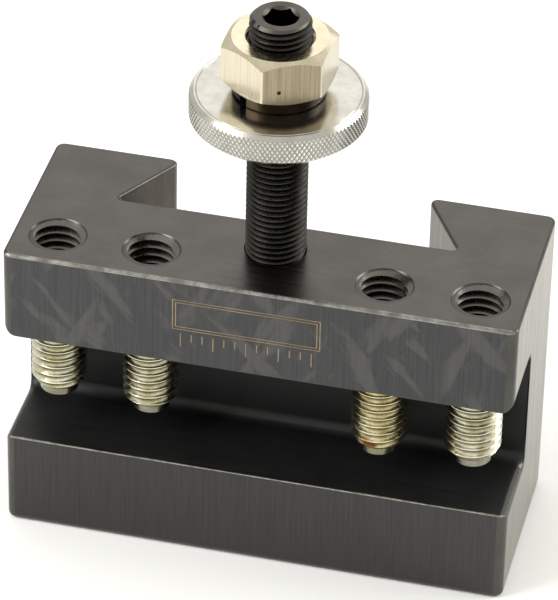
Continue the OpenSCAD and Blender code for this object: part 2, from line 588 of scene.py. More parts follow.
@dataclass(frozen=True)
class Finish:
    """What every finish shares: two tones, a gloss, and the lines that a tool leaves.

    Grinding, drawing and turning leave lines 0.02 to 0.1 mm apart. They would be too fine to
    see, so line_mm draws them 0.3 to 0.8 mm apart.
    """

    name: str
    colour: str
    cloudy: str
    roughness: float
    grain: Grain
    line_mm: float = 0.5
    line_depth: float = 0.25
    streaks: bool = False
    metal: float = 1.0

    CLOUD_MM: ClassVar[float] = 9.0
    CLOUD_DETAIL: ClassVar[float] = 5.0
    CLOUD_ROUGHNESS: ClassVar[float] = 0.6
    LINE_DETAIL: ClassVar[float] = 6.0
    LINE_ROUGHNESS: ClassVar[float] = 0.7
    # The levels of the patterns between which the tone and the gloss change.
    TONE_LEVELS: ClassVar[Point] = (0.35, 0.65)
    GLOSS_LEVELS: ClassVar[Point] = (0.3, 0.7)
    GLOSS_RANGE: ClassVar[Point] = (0.8, 1.25)
    BUMP_MM: ClassVar[float] = 0.02

    def material(self) -> bpy.types.Material:
        """Builds the material.

        Returns:
            The new material.
        """
        material, tree = new_material(self.name)
        place = add_node(tree, "ShaderNodeTexCoord").outputs["Object"]
        cloud = add_node(tree, "ShaderNodeTexNoise",
                         {"Vector": place, "Scale": 1 / (self.CLOUD_MM * MM),
                          "Detail": self.CLOUD_DETAIL, "Roughness": self.CLOUD_ROUGHNESS})
        stretched = add_node(tree, "ShaderNodeMapping",
                             {"Vector": place, "Scale": self.grain.value})
        lines = add_node(tree, "ShaderNodeTexNoise",
                         {"Vector": stretched.outputs[0], "Scale": 1 / (self.line_mm * MM),
                          "Detail": self.LINE_DETAIL, "Roughness": self.LINE_ROUGHNESS})
        pattern = add_node(tree, "ShaderNodeMapRange",
                           {0: (lines if self.streaks else cloud).outputs["Fac"],
                            1: self.TONE_LEVELS[0], 2: self.TONE_LEVELS[1]})
        tone = add_node(tree, "ShaderNodeMix",
                        {0: pattern.outputs[0], 6: linear(self.colour), 7: linear(self.cloudy)},
                        data_type="RGBA")
        smoothest, roughest = (self.roughness * factor for factor in self.GLOSS_RANGE)
        gloss = add_node(tree, "ShaderNodeMapRange",
                         {0: lines.outputs["Fac"], 1: self.GLOSS_LEVELS[0],
                          2: self.GLOSS_LEVELS[1], 3: smoothest, 4: roughest})
        colour, roughness = self.add_marks(tree, place, tone.outputs[2], gloss.outputs[0])
        bump = add_node(tree, "ShaderNodeBump",
                        {"Height": lines.outputs["Fac"], "Strength": self.line_depth,
                         "Distance": self.BUMP_MM * MM})
        shader = add_node(tree, "ShaderNodeBsdfPrincipled",
                          {"Base Color": colour, "Roughness": roughness, "Metallic": self.metal,
                           "Normal": bump.outputs[0]})
        add_node(tree, "ShaderNodeOutputMaterial", {0: shader.outputs[0]})
        return material

    def add_marks(self, tree: bpy.types.NodeTree, place: Socket, colour: Socket,
                  roughness: Socket) -> tuple[Socket, Socket]:
        """Lays this finish's own marks over its tones; a plain finish has none.

        Args:
            tree: The material's node tree.
            place: Object coordinates.
            colour: The colour so far.
            roughness: The roughness so far.

        Returns:
            The new colour and roughness.
        """
        return colour, roughness


@dataclass(frozen=True)
class OxideFinish(Finish):
    """Steel blackened in a hot oxide bath and oiled.

    The skin is only a micron thick, so the ground lines still show and the metal under it makes
    a dark mirror, brighter at a glancing angle. Handling rubs pale scuffs on its broad faces.
    """

    scuff: float = 0.0
    scuff_colour: str = "7d7c79"
    wear_and_highlight: float = 0.0
    wear_and_highlight_colour: str = "95938c"

    # Each layer of rub strokes: its slant from upright in degrees, the strokes' width in mm, and
    # the level of the pattern at which a stroke begins. A higher level leaves fewer strokes.
    STROKES: ClassVar[tuple] = ((-42.0, 4.2, 0.56), (26.0, 4.8, 0.585))
    STROKE_STRETCH: ClassVar[float] = 4.0
    STROKE_EDGE: ClassVar[float] = 0.07
    STROKE_DULLNESS: ClassVar[float] = 0.18
    WEAR_MM: ClassVar[float] = 2.4
    WEAR_LEVELS: ClassVar[Point] = (0.38, 0.66)
    LEAST_WEAR: ClassVar[float] = 0.15

    def add_marks(self, tree: bpy.types.NodeTree, place: Socket, colour: Socket,
                  roughness: Socket) -> tuple[Socket, Socket]:
        """Adds the rub strokes, and the worn steel that is partly a painted highlight, where the
        finish has them.

        Args:
            tree: The material's node tree.
            place: Object coordinates.
            colour: The colour so far.
            roughness: The roughness so far.

        Returns:
            The new colour and roughness.
        """
        if self.scuff:
            first, second = (self.stroke_layer(tree, place, *stroke) for stroke in self.STROKES)
            strokes = add_node(tree, "ShaderNodeMath", {0: first, 1: second},
                               operation="MAXIMUM").outputs[0]
            colour = add_node(tree, "ShaderNodeMix",
                              {0: strokes, 6: colour, 7: linear(self.scuff_colour)},
                              data_type="RGBA").outputs[2]
            roughness = add_node(tree, "ShaderNodeMath",
                                 {0: strokes, 1: self.STROKE_DULLNESS, 2: roughness},
                                 operation="MULTIPLY_ADD").outputs[0]
        # Worn steel on an edge: pale colour that is partly wear and partly a painted highlight.
        if self.wear_and_highlight:
            rubbed = add_node(tree, "ShaderNodeTexNoise",
                              {"Vector": place, "Scale": 1 / (self.WEAR_MM * MM),
                               "Detail": 6.0, "Roughness": 0.7})
            through = add_node(tree, "ShaderNodeMapRange",
                               {0: rubbed.outputs["Fac"], 1: self.WEAR_LEVELS[0],
                                2: self.WEAR_LEVELS[1], 3: self.LEAST_WEAR * self.wear_and_highlight,
                                4: self.wear_and_highlight})
            colour = add_node(tree, "ShaderNodeMix",
                              {0: through.outputs[0], 6: colour, 7: linear(self.wear_and_highlight_colour)},
                              data_type="RGBA").outputs[2]
        return colour, roughness

    def stroke_layer(self, tree: bpy.types.NodeTree, place: Socket, slant: float,
                     width_mm: float, start: float) -> Socket:
        """Draws rub strokes that all slant the same way.

        Args:
            tree: The material's node tree.
            place: Object coordinates.
            slant: Angle from upright in degrees.
            width_mm: Width of a stroke.
            start: Level of the pattern at which a stroke begins.

        Returns:
            How strongly each point is rubbed.
        """
        slanted = add_node(tree, "ShaderNodeMapping",
                           {"Vector": place, "Rotation": (0, math.radians(slant), 0),
                            "Scale": (1.0, 1.0, self.STROKE_STRETCH)}, vector_type="TEXTURE")
        rubs = add_node(tree, "ShaderNodeTexNoise",
                        {"Vector": slanted.outputs[0], "Scale": 1 / (width_mm * MM),
                         "Detail": 4.0, "Roughness": 0.45, "Distortion": 0.3})
        return add_node(tree, "ShaderNodeMapRange",
                        {0: rubs.outputs["Fac"], 1: start, 2: start + self.STROKE_EDGE,
                         3: 0.0, 4: self.scuff}).outputs[0]


@dataclass(frozen=True)
class PlateFinish(Finish):
    """Steel drawn, rolled or turned, and then plated with a thin bright metal.

    The plate is a warm mirror with the tool's lines under it; its grooves are darkened with
    painted shade.
    """

    line_mm: float = 0.4
    line_depth: float = 0.2
    # Colour and strength of the painted shade in the grooves, deepest at the root.
    groove_shade_colour: str = "4a4636"
    groove: float = 0.0
    stain_colour: str = "8a5a24"
    stain_at: Optional[tuple[float, float, float]] = None

    CLOUD_MM: ClassVar[float] = 2.5
    CLOUD_ROUGHNESS: ClassVar[float] = 0.5
    LINE_DETAIL: ClassVar[float] = 5.0
    LINE_ROUGHNESS: ClassVar[float] = 0.65
    GLOSS_RANGE: ClassVar[Point] = (0.75, 1.3)
    STAIN_MM: ClassVar[float] = 2.0
    STAIN_EDGE_MM: ClassVar[float] = 1.2
    STAIN_STRENGTH: ClassVar[float] = 0.85

    def add_marks(self, tree: bpy.types.NodeTree, place: Socket, colour: Socket,
                  roughness: Socket) -> tuple[Socket, Socket]:
        """Darkens the grooves with painted shade, and lays one small rust stain where the finish
        has one.

        Args:
            tree: The material's node tree.
            place: Object coordinates.
            colour: The colour so far.
            roughness: The roughness so far.

        Returns:
            The new colour and the same roughness.
        """
        # Painted shade: the colour darkens towards the groove colour with the stored depth.
        if self.groove:
            depth = add_node(tree, "ShaderNodeAttribute", attribute_name="depth")
            groove_shade = add_node(tree, "ShaderNodeMapRange",
                            {0: depth.outputs["Fac"], 1: 0.35, 2: 1.0, 3: 0.0, 4: self.groove})
            colour = add_node(tree, "ShaderNodeMix",
                              {0: groove_shade.outputs[0], 6: colour, 7: linear(self.groove_shade_colour)},
                              data_type="RGBA").outputs[2]
        if self.stain_at:
            ragged = add_node(tree, "ShaderNodeTexNoise",
                              {"Vector": place, "Scale": 1 / (self.STAIN_EDGE_MM * MM),
                               "Detail": 3.0})
            away = add_node(tree, "ShaderNodeVectorMath", {0: place, 1: self.stain_at},
                            operation="DISTANCE")
            radius = self.STAIN_MM * MM
            edge = add_node(tree, "ShaderNodeMath",
                            {0: ragged.outputs["Fac"], 1: -radius, 2: away.outputs["Value"]},
                            operation="MULTIPLY_ADD")
            spot = add_node(tree, "ShaderNodeMapRange",
                            {0: edge.outputs[0], 1: 0.0, 2: radius / 2,
                             3: self.STAIN_STRENGTH, 4: 0.0})
            colour = add_node(tree, "ShaderNodeMix",
                              {0: spot.outputs[0], 6: colour, 7: linear(self.stain_colour)},
                              data_type="RGBA").outputs[2]
        return colour, roughness


# ---------------------------------------------------------------- pieces


def coat(piece: bpy.types.Object, materials: Sequence[bpy.types.Material], degrees: float,
         choose: Optional[Callable[[Vector, Vector], int]] = None) -> None:
    """Gives a piece its materials, and shades it.

    Args:
        piece: The piece to dress.
        materials: The materials in the order of their numbers.
        degrees: Edges that turn more than this stay sharp.
        choose: Called with a face's centre and normal; returns its material's number. None
            leaves the first material everywhere.
    """
    mesh = piece.data
    mesh.materials.clear()
    for material in materials:
        mesh.materials.append(material)
    if choose:
        for face in mesh.polygons:
            face.material_index = choose(face.center, face.normal)
    smooth(piece, degrees)


def finish_piece(piece: bpy.types.Object, body: str, node: str) -> None:
    """Ties a finished piece to the frame and reports it.

    Args:
        piece: The finished object.
        body: The body that it moves with.
        node: The CAD node that it stands for.
    """
    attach(piece, body)
    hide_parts(node)
    LOG.info("%s: %d faces, rides on %s", piece.name, len(piece.data.polygons), body)


@dataclass
class ClampScrews:
    """The four socket set screws, and the thread that their holes are tapped with."""

    nodes: tuple[str, ...] = SCREW_NODES
    pitch: float = 25.4 / 14 * MM
    thread_depth: float = 1.08 * MM
    point_radius: float = 3.8 * MM
    point_length: float = 1.6 * MM
    point_round: float = 0.25 * MM
    end_chamfer: float = 0.8 * MM
    end_round: float = 0.3 * MM
    socket_key: float = 5.6 * MM
    socket_depth: float = 6.5 * MM
    tap_clearance: float = 0.09 * MM
    stain_from_corner: Vector = field(default_factory=lambda: Vector((4.5, 1.0, 3.5)) * MM)
    pieces: list[bpy.types.Object] = field(default_factory=list)

    def thread(self) -> Thread:
        """Returns the screws' thread, sized from the CAD node."""
        low, high = box(self.nodes[0])
        return Thread((high.x - low.x) / 2, self.pitch, self.thread_depth)

    def build(self) -> None:
        """Cuts the first screw, and copies it to the other holes.

        A copy that stands higher by a share of the pitch is turned on by the same share of a
        turn, the way that its thread climbs, so that it stays in step with its hole's.
        """
        first = self.cut_screw(self.nodes[0])
        start, base = axis_of(self.nodes[0]), box(self.nodes[0])[0].z
        self.pieces = [first]
        for node in self.nodes[1:]:
            rise = box(node)[0].z - base
            shift = axis_of(node) - start + Vector((0, 0, rise))
            self.pieces.append(copy_of(first, node + "_piece", shift, start,
                                       2 * math.pi * rise / self.pitch))

    def cut_screw(self, node: str) -> bpy.types.Object:
        """Cuts one screw from a threaded rod, a turned envelope and a hexagon socket.

        Args:
            node: The CAD node that gives its place and size.

        Returns:
            The screw.
        """
        low, high = box(node)
        length = high.z - low.z
        centre = axis_of(node)
        thread = self.thread()
        piece = thread.rod(node + "_piece", centre, low.z, high.z)
        taper = thread.crest - self.point_radius
        tip = thread.crest - self.end_chamfer - self.end_round
        outside = thread.crest + SPARE
        envelope = revolve("envelope", [
            (0, 0), (self.point_radius - self.point_round, 0),
            (self.point_radius, self.point_round), (self.point_radius, self.point_length),
            (outside, self.point_length + taper + SPARE),
            (outside, length - self.end_chamfer - SPARE), (tip, length), (0, length)],
            centre, steps=64, base=low.z)
        solve(piece, envelope, Solve.KEEP)
        socket = add_prism("socket", centre, hexagon_corner(self.socket_key),
                           high.z - self.socket_depth, high.z + SPARE, sides=6)
        solve(piece, socket, Solve.CUT)
        weld(piece)
        mark_depth(piece, centre, thread.root, thread.crest)
        return piece

    def dress(self) -> None:
        """Gives the screws their zinc, and the third one its rust stain."""
        # Zinc plate over a rolled thread: bright, faintly olive crests, and grooves darkened with
        # painted shade.
        plain = PlateFinish(
            "zinc_plate_rolled_thread", colour="eeecdc", cloudy="cdc7a8", roughness=0.2,
            grain=Grain.NONE, line_mm=0.8, line_depth=0.7, groove=0.75)
        # The same plate, yellower with age, and rusted through in one spot near the point.
        stained = replace(
            plain, name="zinc_plate_rust_stained", colour="f0e9cc", cloudy="cfc49a",
            roughness=0.22, stain_at=tuple(box(self.nodes[2])[0] + self.stain_from_corner))
        bright, rusted = plain.material(), stained.material()
        for node, piece in zip(self.nodes, self.pieces):
            coat(piece, [rusted if node == self.nodes[2] else bright], degrees=38)
            finish_piece(piece, node, node)


class Surface(IntEnum):
    """The holder's groups of faces, numbered in the order of its materials."""

    TOP = 0
    UPPER_FRONT = 1
    PLAIN_FRONT = 2
    END = 3
    SLOT = 4
    DOVETAIL = 5
    TAPPED = 6
    RUBBED_EDGE = 7
    ETCHED = 8
    CORNER = 9


@dataclass
class HolderBody:
    """The machined block with its slot, dovetail and tapped holes."""

    node: str = "holder_body"
    corner_radius: float = 1.8 * MM
    bottom_round: float = 1.3 * MM
    top_round: float = 0.6 * MM
    upper_jaw_end: float = 2.8 * MM
    lower_jaw_end: float = 1.5 * MM
    flare_steps: int = 8
    slot_height: float = 24.8 * MM
    slot_fillet: float = 2.4 * MM
    dovetail_mouth: float = 49.6 * MM
    dovetail_angle: float = math.radians(60)
    dovetail_fillet: float = 0.9 * MM
    mouth_radius: float = 1.6 * MM
    edge_break: float = 0.28 * MM
    sharp_angle: float = math.radians(40)
    hole_chamfer: float = 0.15 * MM
    # How far a face may lie from a hole's axis, and beside the dovetail's mouth, to belong to it.
    hole_reach: float = 6.6 * MM
    dovetail_reach: float = 12 * MM
    margin: float = 2 * MM
    # The etched panel: its corners as (X, Z), its double frame and its ticks.
    etch_depth: float = 0.06 * MM
    etch_line: float = 0.22 * MM
    panel_low: Point = (-17 * MM, 48.6 * MM)
    panel_high: Point = (13 * MM, 61 * MM)
    frame_insets: Point = (0.3 * MM, 0.9 * MM)
    frame_foot: float = 0.38
    ticks: int = 13
    tick_margin: float = 2 * MM
    tick_gap: float = 0.5 * MM
    long_every: int = 3
    long_tick: float = 3.2 * MM
    short_tick: float = 1.9 * MM
    piece: Optional[bpy.types.Object] = None
    low: Vector = field(init=False)
    high: Vector = field(init=False)
    slot_floor: float = field(init=False)
    slot_ceiling: float = field(init=False)
    slot_back: float = field(init=False)
    hole_axes: list[Vector] = field(init=False)

    def build(self, screws: ClampScrews, stud_radius: float) -> None:
        """Cuts the block in the order of a machine shop.

        Args:
            screws: The clamp screws, for their thread and places.
            stud_radius: Radius of the height stud.
        """
        self.low, self.high = box(self.node)
        self.slot_floor = mount("tool_seat").z
        self.slot_ceiling = self.slot_floor + self.slot_height
        self.slot_back = mount("tool_back_stop").y
        self.hole_axes = [axis_of(node) for node in HOLE_NODES]
        self.piece = add_block("holder_body_piece", self.low, self.high)
        self.cut_dovetail()
        self.round_outside()
        solve(self.piece, self.slot_cutter(), Solve.CUT)
        self.break_edges()
        self.etch_panel()
        self.tap_holes(screws, stud_radius)
        weld(self.piece, FINE_WELD)

    def cut_dovetail(self) -> None:
        """Cuts the undercut groove through the back, from top to bottom."""
        floor_y = 2 * mount("post_dovetail").y - self.high.y
        depth = self.high.y - floor_y
        half_mouth = self.dovetail_mouth / 2
        half_floor = half_mouth + depth / math.tan(self.dovetail_angle)
        half_back = half_mouth - self.margin / math.tan(self.dovetail_angle)
        # It starts 1 m either side of the middle, so that a resize by a length gives that length.
        tool = add_block("dovetail", Vector((-1, floor_y, self.low.z - self.margin)),
                         Vector((1, self.high.y + self.margin, self.high.z + self.margin)))
        select_only(tool)
        bpy.ops.object.mode_set(mode="EDIT")
        middle = (floor_y + self.high.y) / 2
        for half, test in ((half_floor, lambda p, n: p.y < middle),
                           (half_back, lambda p, n: p.y > middle)):
            pick(tool, "verts", test)
            bpy.ops.transform.resize(value=(half, 1, 1), center_override=(0, middle, 0))
        bpy.ops.object.mode_set(mode="OBJECT")
        solve(self.piece, tool, Solve.CUT)
        # On a 60 degree corner, a rounding's offset is its radius times the root of 3.
        offset = math.sqrt(3)
        bevel_edges(self.piece, lambda p, d: upright(d) and abs(p.y - floor_y) < MM
                    and abs(p.x) > half_mouth, self.dovetail_fillet * offset, segments=5)
        bevel_edges(self.piece, lambda p, d: upright(d) and abs(p.y - self.high.y) < MM
                    and abs(abs(p.x) - half_mouth) < MM, self.mouth_radius * offset, segments=6)

    def round_outside(self) -> None:
        """Rounds the upright corners, then the whole top and bottom outlines."""
        bevel_edges(self.piece, lambda p, d: upright(d) and abs(p.x) > self.high.x - MM,
                    self.corner_radius, segments=6)
        bevel_edges(self.piece, lambda p, d: abs(p.z - self.high.z) < NEAR, self.top_round,
                    segments=3)
        bevel_edges(self.piece, lambda p, d: abs(p.z - self.low.z) < NEAR, self.bottom_round,
                    segments=5)

    def slot_cutter(self) -> bpy.types.Object:
        """Makes the tool that cuts the slot and rounds the jaws' ends.

        Returns:
            The cutter, flared at both ends like a router's bit.
        """
        straight = self.high.x - self.upper_jaw_end
        tool = add_block("slot", Vector((-straight, self.low.y - self.margin, self.slot_floor)),
                         Vector((straight, self.slot_back, self.slot_ceiling)))
        bevel_edges(tool, lambda p, d: abs(d.x) > 0.9 and abs(p.y - self.slot_back) < MM,
                    self.slot_fillet, segments=7)
        select_only(tool)
        bpy.ops.object.mode_set(mode="EDIT")
        for side in (-1, 1):
            x, up, down = straight, 0.0, 0.0
            for step in range(1, self.flare_steps + 2):
                new_x, new_up, new_down = self.flare(straight, step)
                self.lengthen(tool, side, x, new_x)
                self.spread_end(tool, side, new_x, new_up - up, down - new_down)
                x, up, down = new_x, new_up, new_down
        bpy.ops.object.mode_set(mode="OBJECT")
        weld(tool)
        return tool

    def flare(self, straight: float, step: int) -> tuple[float, float, float]:
        """Works out one step of the cutter's flare, a quarter round over each jaw's end.

        Args:
            straight: Where the cutter's straight part ends.
            step: Number of the step, from 1; the one after the last only lengthens the cutter.

        Returns:
            The step's X, and how far the cutter's top and bottom stand out from the slot.
        """
        turn = min(step / self.flare_steps, 1.0) * math.pi / 2
        x = straight + self.upper_jaw_end * math.sin(turn)
        up = self.upper_jaw_end * (1 - math.cos(turn))
        inside = max(0.0, x - (self.high.x - self.lower_jaw_end))
        down = self.lower_jaw_end - math.sqrt(max(0.0, self.lower_jaw_end ** 2 - inside ** 2))
        return x + (self.margin if step > self.flare_steps else 0.0), up, down

    def lengthen(self, tool: bpy.types.Object, side: int, x: float, new_x: float) -> None:
        """Extrudes one end of the cutter.

        Args:
            tool: The cutter, in edit mode.
            side: 1 for the end at +X and -1 for the other.
            x: How far from the middle the end is.
            new_x: How far from the middle it will be.
        """
        pick(tool, "faces", lambda p, n: n.x * side > 0.9 and p.x * side > x - NEAR)
        bpy.ops.mesh.extrude_region_move(
            TRANSFORM_OT_translate={"value": (side * (new_x - x), 0, 0)})

    def spread_end(self, tool: bpy.types.Object, side: int, x: float, rise: float,
                   drop: float) -> None:
        """Moves the top and the bottom of one end of the cutter.

        Args:
            tool: The cutter, in edit mode.
            side: 1 for the end at +X and -1 for the other.
            x: How far from the middle the end is.
            rise: How far its top moves up.
            drop: How far its bottom moves up, less than 0 for down.
        """
        middle = (self.slot_floor + self.slot_ceiling) / 2
        pick(tool, "verts", lambda p, n: abs(p.x * side - x) < NEAR and p.z > middle)
        bpy.ops.transform.translate(value=(0, 0, rise))
        pick(tool, "verts", lambda p, n: abs(p.x * side - x) < NEAR and p.z < middle)
        bpy.ops.transform.translate(value=(0, 0, drop))

    def break_edges(self) -> None:
        """Takes the sharpness off the slot's edges, which the cutter leaves sharp."""
        reach = self.upper_jaw_end + SPARE / 2
        select_only(self.piece)
        bpy.ops.object.mode_set(mode="EDIT")
        bpy.ops.mesh.select_mode(type="EDGE")
        bpy.ops.mesh.select_all(action="DESELECT")
        shape = bmesh.from_edit_mesh(self.piece.data)
        for edge in shape.edges:
            place = (edge.verts[0].co + edge.verts[1].co) / 2
            near_slot = (self.slot_floor - reach < place.z < self.slot_ceiling + reach
                         and place.y < self.slot_back + MM)
            if near_slot and edge.calc_face_angle(0) > self.sharp_angle:
                edge.select_set(True)
        bmesh.update_edit_mesh(self.piece.data)
        bpy.ops.mesh.bevel(offset=self.edge_break, segments=2, affect="EDGES",
                           clamp_overlap=False)
        bpy.ops.object.mode_set(mode="OBJECT")

    def etch_panel(self) -> None:
        """Etches a plain double frame with a row of graduation ticks into the upper jaw."""
        (x0, z0), (x1, z1) = self.panel_low, self.panel_high
        line, outside = self.etch_line, self.low.y - self.margin
        deep = self.low.y + self.etch_depth
        divide = z0 + self.frame_foot * (z1 - z0)
        shapes = []
        for inset in self.frame_insets:
            ring = add_block("frame", Vector((x0 + inset, outside, divide + inset)),
                             Vector((x1 - inset, deep, z1 - inset)))
            hole = add_block("hole", Vector((x0 + inset + line, outside - MM,
                                             divide + inset + line)),
                             Vector((x1 - inset - line, deep + MM, z1 - inset - line)))
            solve(ring, hole, Solve.CUT)
            shapes.append(ring)
        start, top = x0 + self.tick_margin, divide - self.tick_gap
        step = (x1 - self.tick_margin - start) / (self.ticks - 1)
        models = [add_block("tick", Vector((start - line / 2, outside, top - length)),
                            Vector((start + line / 2, deep, top)))
                  for length in (self.long_tick, self.short_tick)]
        for index in range(self.ticks):
            model = models[0] if index % self.long_every == 0 else models[1]
            shapes.append(copy_of(model, "tick", Vector((index * step, 0, 0))))
        for model in models:
            remove(model)
        solve(self.piece, gather(shapes), Solve.CUT)

    def tap_holes(self, screws: ClampScrews, stud_radius: float) -> None:
        """Taps the four screw holes and drills the stud's hole.

        Args:
            screws: The clamp screws, for their thread and places.
            stud_radius: Radius of the height stud.
        """
        thread = screws.thread().grown(screws.tap_clearance)
        first = axis_of(screws.nodes[0])
        mouth, inner = thread.crest + self.hole_chamfer, thread.crest - self.hole_chamfer
        cones = gather([self.countersink(first, self.high.z, -1, mouth, inner),
                        self.countersink(first, self.slot_ceiling, 1, mouth, inner)])
        tap = thread.rod("tap", first, self.slot_ceiling - self.margin,
                         self.high.z + self.margin)
        for tool in (cones, tap):
            row = [tool] + [copy_of(tool, tool.name, axis_of(node) - first)
                            for node in screws.nodes[1:]]
            solve(self.piece, gather(row), Solve.CUT)
        low, centre = box("height_stud")[0], axis_of("height_stud")
        wall = stud_radius + STUD_GAP
        drill = add_prism("drill", centre, wall, low.z, self.high.z + self.margin,
                          sides=96)
        solve(self.piece, drill, Solve.CUT)
        solve(self.piece, self.countersink(centre, self.high.z, -1,
                                           wall + self.hole_chamfer, wall - MM), Solve.CUT)

    def countersink(self, centre: Vector, z: float, into: int, mouth: float,
                    inner: float) -> bpy.types.Object:
        """Makes the cone that breaks a hole's mouth at 45 degrees.

        Args:
            centre: A point on the hole's axis.
            z: Height of the face that the hole opens in.
            into: The way into the metal, 1 for up and -1 for down.
            mouth: Radius of the cone at the face.
            inner: Radius at which the cone ends, inside the hole.

        Returns:
            The cone.
        """
        depth = mouth - inner
        above = SPARE / 2
        points = [(0, -into * above), (mouth + above, -into * above), (inner, into * depth),
                  (0, into * depth)]
        # An odd number of steps keeps its points off the thread's.
        return revolve("countersink", points, centre, steps=97, base=z)

    def dress(self) -> None:
        """Gives each group of faces the finish that its machining leaves; some of these finishes
        also carry painted light or shade.
        """
        finishes = {
            # Surface ground lengthwise: a soft, even sheen.
            Surface.TOP: OxideFinish(
                "black_oxide_ground_top", "54514e", "5c5955", 0.3, Grain.ALONG_X,
                line_depth=0.08),
            # Ground upright, then handled: fine lines under slanting rub marks.
            Surface.UPPER_FRONT: OxideFinish(
                "black_oxide_rubbed_front", "4c4c4d", "434344", 0.35, Grain.UPRIGHT,
                line_mm=0.3, line_depth=0.2, scuff=0.18, streaks=True),
            # Ground upright and hardly touched: nearly plain, with the faintest lines.
            Surface.PLAIN_FRONT: OxideFinish(
                "black_oxide_ground_front", "4a4949", "434241", 0.36, Grain.UPRIGHT,
                line_mm=0.3, line_depth=0.14, streaks=True),
            # Milled ends: smooth enough to mirror the floor at a glancing angle; their colour is
            # also raised well above the other oxide faces as a painted reflection.
            Surface.END: OxideFinish(
                "black_oxide_milled_end", "7d7666", "6a6456", 0.24, Grain.UPRIGHT,
                line_mm=0.7, line_depth=0.14, streaks=True),
            # The slot keeps its oil, and its colour is also darkened as painted shade in the
            # recess, so it is the darkest and smoothest.
            Surface.SLOT: OxideFinish(
                "black_oxide_oiled_slot", "363736", "2f3030", 0.46, Grain.ALONG_X,
                line_depth=0.1, metal=0.8),
            # Cutter lines run down the dovetail's flanks.
            Surface.DOVETAIL: OxideFinish(
                "black_oxide_milled_dovetail", "625e57", "55514b", 0.3, Grain.UPRIGHT,
                line_depth=0.2),
            # Tapped threads: their colour is raised well above the oxide's as a painted highlight
            # on the crests, and the holes shade the rest.
            Surface.TAPPED: OxideFinish(
                "black_oxide_tapped_thread", "807d77", "6a6863", 0.24, Grain.NONE,
                line_depth=0.15),
            # Tools rub the front edges, so the steel shows through; the thin pale line is partly
            # this wear and partly a painted highlight.
            Surface.RUBBED_EDGE: OxideFinish(
                "black_oxide_rubbed_edge", "666460", "716e68", 0.3, Grain.NONE,
                line_depth=0.15, wear_and_highlight=0.85, wear_and_highlight_colour="b0aea7"),
            # Shallow etched lines show the warm bare steel.
            Surface.ETCHED: OxideFinish(
                "etched_bare_steel", "a29274", "857760", 0.45, Grain.NONE, line_depth=0.2),
            # Tumbled corners: the oxide is whole and a little smoother than on the faces.
            Surface.CORNER: OxideFinish(
                "black_oxide_rounded_corner", "55534f", "4b4946", 0.3, Grain.NONE,
                line_depth=0.12),
        }
        coat(self.piece, [finishes[surface].material() for surface in Surface], degrees=32,
             choose=self.finish_of)
        finish_piece(self.piece, "holder", self.node)

    def finish_of(self, place: Vector, facing: Vector) -> Surface:
        """Chooses a face's finish from where it lies and which way it faces.

        Args:
            place: The face's centre.
            facing: The face's normal.

        Returns:
            The group that the face belongs to.
        """
        skin = 0.02 * MM
        on_panel = (self.panel_low[0] < place.x < self.panel_high[0]
                    and self.panel_low[1] < place.z < self.panel_high[1])
        if on_panel and skin < place.y - self.low.y < self.etch_depth + skin:
            return Surface.ETCHED
        if abs(place.z - self.high.z) < skin or abs(place.z - self.low.z) < skin:
            return Surface.TOP
        if abs(place.y - self.low.y) < skin and place.z > self.slot_ceiling:
            return Surface.UPPER_FRONT
        if abs(place.y - self.low.y) < skin or abs(place.y - self.high.y) < skin:
            return Surface.PLAIN_FRONT
        if abs(abs(place.x) - self.high.x) < skin:
            return Surface.END
        in_slot = (self.slot_floor - skin < place.z < self.slot_ceiling + skin
                   and place.y < self.slot_back + skin)
        square_on = max(map(abs, facing)) > 0.95
        behind_lip = place.y > self.low.y + 1 * MM
        if in_slot and (square_on or behind_lip):
            return Surface.SLOT
        at_back = place.y > self.slot_back + 3 * MM
        if at_back and abs(facing.z) < 0.1:
            in_dovetail = abs(place.x) < self.dovetail_mouth / 2 + self.dovetail_reach
            return Surface.DOVETAIL if in_dovetail else Surface.CORNER
        if any((place.xy - axis.xy).length < self.hole_reach for axis in self.hole_axes):
            at_mouth = place.z > self.high.z - 2 * self.hole_chamfer - skin
            return Surface.CORNER if at_mouth else Surface.TAPPED
        # The front edges take the pale worn finish, which is partly a painted highlight.
        at_front = place.y < self.low.y + self.top_round + skin
        on_rubbed_and_highlight_edge = (place.z > self.high.z - self.top_round - skin
                          or abs(place.z - self.slot_floor) < self.edge_break + skin)
        return Surface.RUBBED_EDGE if at_front and on_rubbed_and_highlight_edge else Surface.CORNER


